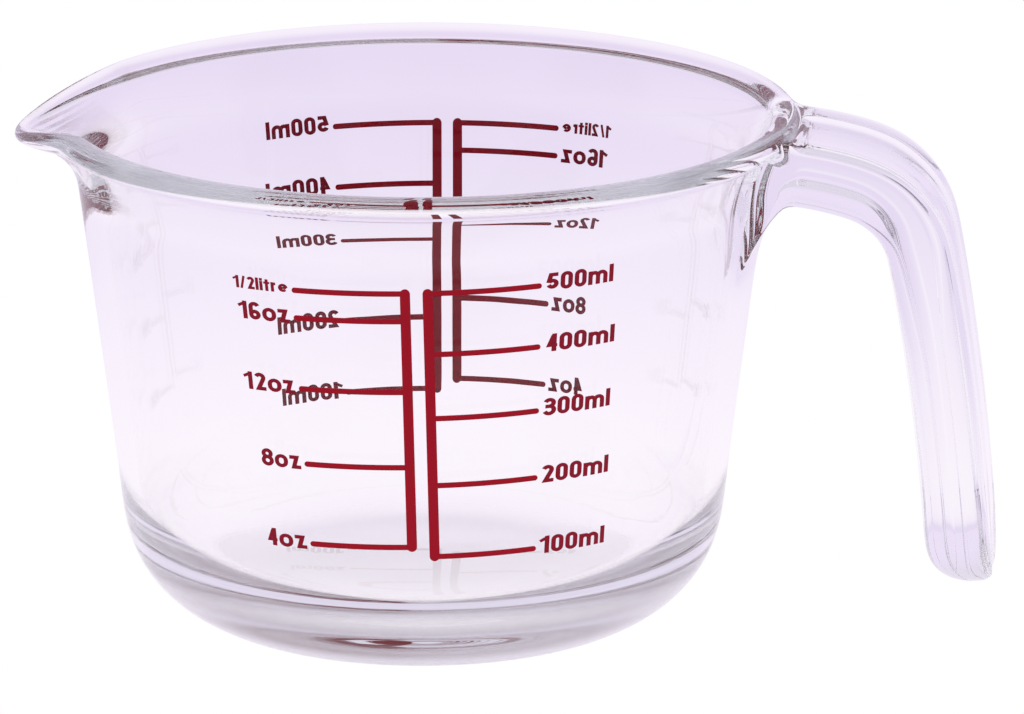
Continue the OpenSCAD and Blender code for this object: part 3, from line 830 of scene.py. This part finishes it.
# %% Words
def label(side, width, z, way, replaced):
    """One printed word: the CAD's word, widened away from its tick and sunk into the skin."""
    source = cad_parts[replaced]
    flat = bpy.data.meshes.new(replaced + "_print")
    flat.from_pydata([source.matrix_world @ v.co for v in source.data.vertices], [],
                     [list(face.vertices) for face in source.data.polygons])
    word = bpy.data.objects.new(replaced + "_print", flat)
    bpy.context.collection.objects.link(word)
    middle = math.radians(SIDES[side][0])
    spots = []
    for vertex in word.data.vertices:
        x, y, height = vertex.co / MM
        turn = (math.atan2(x, -y) - middle + math.pi) % (2 * math.pi) - math.pi
        spots.append((way * turn * wall_r(height), height, math.hypot(x, y) - wall_r(height)))
    near = min(spot[0] for spot in spots)
    stretch = width / (max(spot[0] for spot in spots) - near)
    for vertex, (along, height, depth) in zip(word.data.vertices, spots):
        turn = middle + way * (near + (along - near) * stretch) / wall_r(height)
        r = wall_r(height) + PRINT_IN + (PRINT_OUT - PRINT_IN) * min(max(depth / CAD_PRINT_T, 0), 1)
        vertex.co = Vector((r * math.sin(turn), -r * math.cos(turn), height)) * MM
    word.data.update()
    finish_print(word, replaced, fine_enamel)


# %% Print both sides
for side in SIDES:
    ladder(side, ML_Z, 1, side + "_ml_ladder")
    ladder(side, OZ_Z, -1, side + "_oz_ladder")
    for z, (word, width) in zip(ML_Z, ML_WORDS):
        label(side, width, z, 1, side + "_label_" + word)
    for z, (word, width) in zip(OZ_Z, OZ_WORDS):
        label(side, width, z, -1, side + "_label_" + word)

# %% [markdown]
# ## Floor and light
#
# The jug was photographed on a white table and cut out, so round it the picture is pure white,
# while the glass shows the pale lavender of the studio it stood in. A cut-out could be made with
# a mask afterwards. Here floor and sky hold two tones: the camera sees white where it looks at
# them straight, and all light that has been through the glass sees the studio.


# %% Two tones for the backdrop
WHITE = (1, 1, 1, 1)


def cut_out(tree, seen, lit):
    """A shader that is one to the camera's eye and another to all other light."""
    path = node(tree, "ShaderNodeLightPath")
    mix_node = node(tree, "ShaderNodeMixShader", (), {"Fac": (path, "Is Camera Ray")})
    tree.links.new(lit.outputs[0], mix_node.inputs[1])
    tree.links.new(seen.outputs[0], mix_node.inputs[2])
    return mix_node


# %% [markdown]
# ### The floor
#
# A plain sheet of white paper, made to glow. It glows a little warmer and brighter in a painted
# pool of light round the jug, which is what lights the base from below. Towards the camera its
# glow falls off in painted shade, which stands in for a table's front edge: its reflection draws
# the darker line along the lower corner of the base.

# %% Floor
FLOOR_SIZE, FLOOR_DROP_MM = 12, 0.1
# Where the floor's painted pool of light ends, and where its painted shade towards the camera runs
# and how dim it gets.
PAINTED_POOL_M = (0.08, 0.4)
PAINTED_FALLOFF_M, PAINTED_FALLOFF_SHARE = (-1.4, -0.8), 0.25
bpy.ops.mesh.primitive_plane_add(size=FLOOR_SIZE, location=(0, 0, -FLOOR_DROP_MM * MM))
floor = bpy.context.object
floor.name = "floor"
paper, tree = new_material("white_paper")
seen = node(tree, "ShaderNodeEmission", {"Color": WHITE, "Strength": 1.0})
place = node(tree, "ShaderNodeTexCoord")
away = node(tree, "ShaderNodeVectorMath", (), {0: (place, "Object")}, operation="LENGTH")
# Painted light: the floor's glow is brighter and whiter in a pool round the jug.
painted_pool = node(tree, "ShaderNodeMapRange", step_inputs(*PAINTED_POOL_M, 0.0, 1.0),
            {"Value": (away, "Value")}, interpolation_type="SMOOTHSTEP")
tone = node(tree, "ShaderNodeMix", {"A": srgb("#fdf6ff"), "B": srgb("#e8dcf4")},
            {"Factor": (painted_pool, 0)}, data_type="RGBA")
split = node(tree, "ShaderNodeSeparateXYZ", (), {"Vector": (place, "Object")})
# Painted shade: the floor's glow is dimmed towards the camera, in place of a table's front edge.
painted_falloff = node(tree, "ShaderNodeMapRange", step_inputs(*PAINTED_FALLOFF_M, PAINTED_FALLOFF_SHARE, 1.0),
                {"Value": (split, "Y")}, interpolation_type="SMOOTHSTEP")
lit = node(tree, "ShaderNodeEmission", (), {"Color": (tone, "Result"), "Strength": (painted_falloff, 0)})
shader = cut_out(tree, seen, lit)
node(tree, "ShaderNodeOutputMaterial", (), {"Surface": (shader, "Shader")})
floor.data.materials.append(paper)
print("floor:", [round(v, 2) for v in floor.dimensions])

# %% [markdown]
# ### The studio
#
# Clear glass has no tone of its own: it is drawn by what stands round it. A white tent gives the
# even lavender, a little greyer overhead. Grey flags at the left and the right of the camera are
# what the glass shows as its grey outlines at the wall, the handle and the rim, and the camera's
# own side is a little darker too. Each edge is soft, so the lines fade as they do in the photo.
#
# The sky's direction is a point on a ball of radius 1, so each limit below lies from -1 to 1.

# %% World
world = bpy.data.worlds.new("studio")
bpy.context.scene.world = world
world.use_nodes = True
tree = world.node_tree
tree.nodes.clear()
place = node(tree, "ShaderNodeTexCoord")
split = node(tree, "ShaderNodeSeparateXYZ", (), {"Vector": (place, "Generated")})


def band(source, socket, low, high, bottom, top):
    """A soft step over a node's output: bottom below low, top above high."""
    return node(tree, "ShaderNodeMapRange", step_inputs(low, high, bottom, top),
                {"Value": (source, socket)}, interpolation_type="SMOOTHSTEP")


def combine(first, second, operation):
    """Two strengths made one."""
    return node(tree, "ShaderNodeMath", (), {0: (first, 0), 1: (second, 0)},
                operation=operation)


FLAG_SIDE, FLAG_SHARE = (0.5, 0.7), 0.35
FLAG_BACK = (-0.4, -0.12)
CAMERA_SIDE, CAMERA_SHARE = (-0.96, -0.86), 0.7
OVERHEAD = (0.2, 0.7)
side = node(tree, "ShaderNodeMath", (), {0: (split, "X")}, operation="ABSOLUTE")
flags = band(side, 0, *FLAG_SIDE, 1.0, FLAG_SHARE)
flags = combine(flags, band(split, "Y", *FLAG_BACK, 0.0, 1.0), "MAXIMUM")
both = combine(flags, band(split, "Y", *CAMERA_SIDE, CAMERA_SHARE, 1.0), "MULTIPLY")
height = band(split, "Z", *OVERHEAD, 0.0, 1.0)
tone = node(tree, "ShaderNodeMix", {"A": srgb("#eee2f9"), "B": srgb("#dfd8e8")},
            {"Factor": (height, 0)}, data_type="RGBA")
lit = node(tree, "ShaderNodeBackground", (), {"Color": (tone, "Result"), "Strength": (both, 0)})
seen = node(tree, "ShaderNodeBackground", {"Color": WHITE, "Strength": 1.0})
shader = cut_out(tree, seen, lit)
node(tree, "ShaderNodeOutputWorld", (), {"Surface": (shader, "Shader")})
print("studio:", len(tree.nodes), "nodes")

# %% [markdown]
# ### Colour and light paths
#
# A film-like view would grey the paper, and the standard view keeps it white. Light inside a
# solid strap is mirrored many times before it gets out, and each time counts as a bounce: with
# few of them the handle turns black.

# %% Colour and light paths
BOUNCES = 96
scene = bpy.context.scene
scene.view_settings.view_transform = "Standard"
scene.cycles.max_bounces = BOUNCES
scene.cycles.transmission_bounces = BOUNCES
scene.cycles.glossy_bounces = BOUNCES
print("bounces:", BOUNCES)
